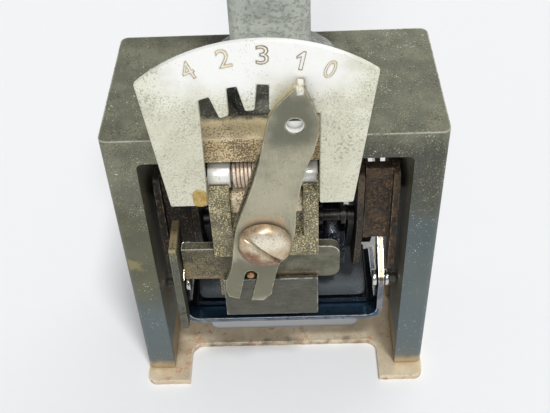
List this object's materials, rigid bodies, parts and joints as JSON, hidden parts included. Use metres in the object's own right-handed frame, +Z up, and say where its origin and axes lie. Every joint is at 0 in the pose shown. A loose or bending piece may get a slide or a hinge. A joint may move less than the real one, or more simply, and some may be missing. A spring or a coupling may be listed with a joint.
{
  "type": "hand numbering machine",
  "caption": "Hand-held numbering stamp: cast stand with a spring plunger and knob handle, inked type wheels, an arched dial with a selector lever, and a swinging ink pad.",
  "frame": {"origin": "middle of the bounding box, on the surface that the base plate stands on", "axes": "+Z up along the plunger towards the handle, +X to the right seen from the dial's side, +Y from the dial to the back"},
  "size_m": [0.062, 0.0478, 0.1561],
  "materials": {
    "stand_casting": "speckled olive-grey casting, slightly worn",
    "base_tin": "tin-plated steel with tan grime and rust",
    "barrel_casting": "rough light grey casting",
    "bright_steel": "bright plated steel",
    "grimy_steel": "steel with brown grime",
    "rusty_steel": "dark steel with rust",
    "lever_steel": "worn grey steel",
    "screw_steel": "browned steel",
    "dial_steel": "pale polished plate with stamped figures",
    "inky_metal": "metal black with ink",
    "pad_felt": "black ink-soaked felt",
    "brass": "old brass",
    "handle_lacquer": "black lacquered wood"
  },
  "bodies": {
    "stand": {"frame": "stand_casting", "base_plate": "base_tin", "base_screw_front_left": "bright_steel", "base_screw_front_right": "bright_steel", "base_screw_back_left": "bright_steel", "base_screw_back_right": "bright_steel", "spring_barrel": "barrel_casting", "barrel_screw_left": "bright_steel", "barrel_screw_right": "bright_steel", "rod_bush": "brass", "ink_pivot_left": "bright_steel", "ink_pivot_right": "bright_steel"},
    "plunger": {"plunger_rod": "bright_steel", "rod_nut": "grimy_steel", "handle_ferrule": "bright_steel", "handle": "handle_lacquer", "return_spring": "bright_steel", "crosshead": "rusty_steel", "cheek_left": "grimy_steel", "cheek_right": "grimy_steel", "side_slide_left": "rusty_steel", "side_slide_right": "rusty_steel", "slide_screw_left": "bright_steel", "slide_screw_right": "bright_steel", "wheel_shaft": "bright_steel", "shaft_nut_left": "grimy_steel", "shaft_nut_right": "grimy_steel", "detent_comb": "grimy_steel", "front_bracket": "grimy_steel", "lower_plate": "grimy_steel", "cross_bar": "bright_steel", "wound_spring": "rusty_steel", "dial_plate": "dial_steel", "pivot_screw": "screw_steel"},
    "number_wheel_1": {"type_wheel_1": "inky_metal"},
    "number_wheel_2": {"type_wheel_2": "inky_metal"},
    "number_wheel_3": {"type_wheel_3": "inky_metal"},
    "number_wheel_4": {"type_wheel_4": "inky_metal"},
    "number_wheel_5": {"type_wheel_5": "inky_metal"},
    "number_wheel_6": {"type_wheel_6": "inky_metal"},
    "feed": {"feed_rocker": "rusty_steel", "feed_pawl_1": "grimy_steel", "feed_pawl_2": "grimy_steel", "feed_pawl_3": "grimy_steel", "feed_pawl_4": "grimy_steel", "feed_pawl_5": "grimy_steel", "feed_pawl_6": "grimy_steel"},
    "selector": {"selector_lever": "lever_steel", "lever_leaf": "grimy_steel"},
    "slider": {"slide_bar": "grimy_steel", "slide_bar_pin": "brass", "slide_bar_upright": "grimy_steel"},
    "inker": {"ink_bail": "bright_steel", "ink_stud_left": "bright_steel", "ink_stud_right": "bright_steel", "pad_tray": "inky_metal", "ink_pad": "pad_felt"}
  },
  "joints": [
    {"name": "plunger_press", "type": "slide", "parent": "stand", "child": "plunger", "axis": [0, 0, -1], "range_m": [0, 0.0188], "stiffness_N_per_m": 600, "springref_m": -0.02, "deforming": ["return_spring"]},
    {"name": "ink_swing", "type": "hinge", "parent": "stand", "child": "inker", "pos_m": [0, 0.01525, 0.0425], "axis": [1, 0, 0], "range_deg": [0, 90.5]},
    {"name": "feed_rock", "type": "hinge", "parent": "plunger", "child": "feed", "pos_m": [0, 0.0036, 0.0293], "axis": [1, 0, 0], "range_deg": [0, 36.5]},
    {"name": "selector_turn", "type": "hinge", "parent": "plunger", "child": "selector", "pos_m": [-0.0023, -0.02065, 0.0499], "axis": [0, 1, 0], "range_deg": [-27.6, 6.4]},
    {"name": "slide_shift", "type": "slide", "parent": "plunger", "child": "slider", "axis": [1, 0, 0], "range_m": [-0.0012, 0.005]},
    {"name": "wheel_1_turn", "type": "hinge", "parent": "plunger", "child": "number_wheel_1", "pos_m": [-0.01162, 0.0036, 0.0293], "axis": [1, 0, 0], "continuous": true},
    {"name": "wheel_2_turn", "type": "hinge", "parent": "plunger", "child": "number_wheel_2", "pos_m": [-0.00698, 0.0036, 0.0293], "axis": [1, 0, 0], "continuous": true},
    {"name": "wheel_3_turn", "type": "hinge", "parent": "plunger", "child": "number_wheel_3", "pos_m": [-0.00233, 0.0036, 0.0293], "axis": [1, 0, 0], "continuous": true},
    {"name": "wheel_4_turn", "type": "hinge", "parent": "plunger", "child": "number_wheel_4", "pos_m": [0.00233, 0.0036, 0.0293], "axis": [1, 0, 0], "continuous": true},
    {"name": "wheel_5_turn", "type": "hinge", "parent": "plunger", "child": "number_wheel_5", "pos_m": [0.00698, 0.0036, 0.0293], "axis": [1, 0, 0], "continuous": true},
    {"name": "wheel_6_turn", "type": "hinge", "parent": "plunger", "child": "number_wheel_6", "pos_m": [0.01162, 0.0036, 0.0293], "axis": [1, 0, 0], "continuous": true}
  ],
  "couplings": [
    {"joint": "ink_swing", "follows": "plunger_press", "rad_per_m": 83.6},
    {"joint": "feed_rock", "follows": "plunger_press", "rad_per_m": 33.4},
    {"joint": "slide_shift", "follows": "selector_turn", "m_per_rad": -0.0102}
  ]
}
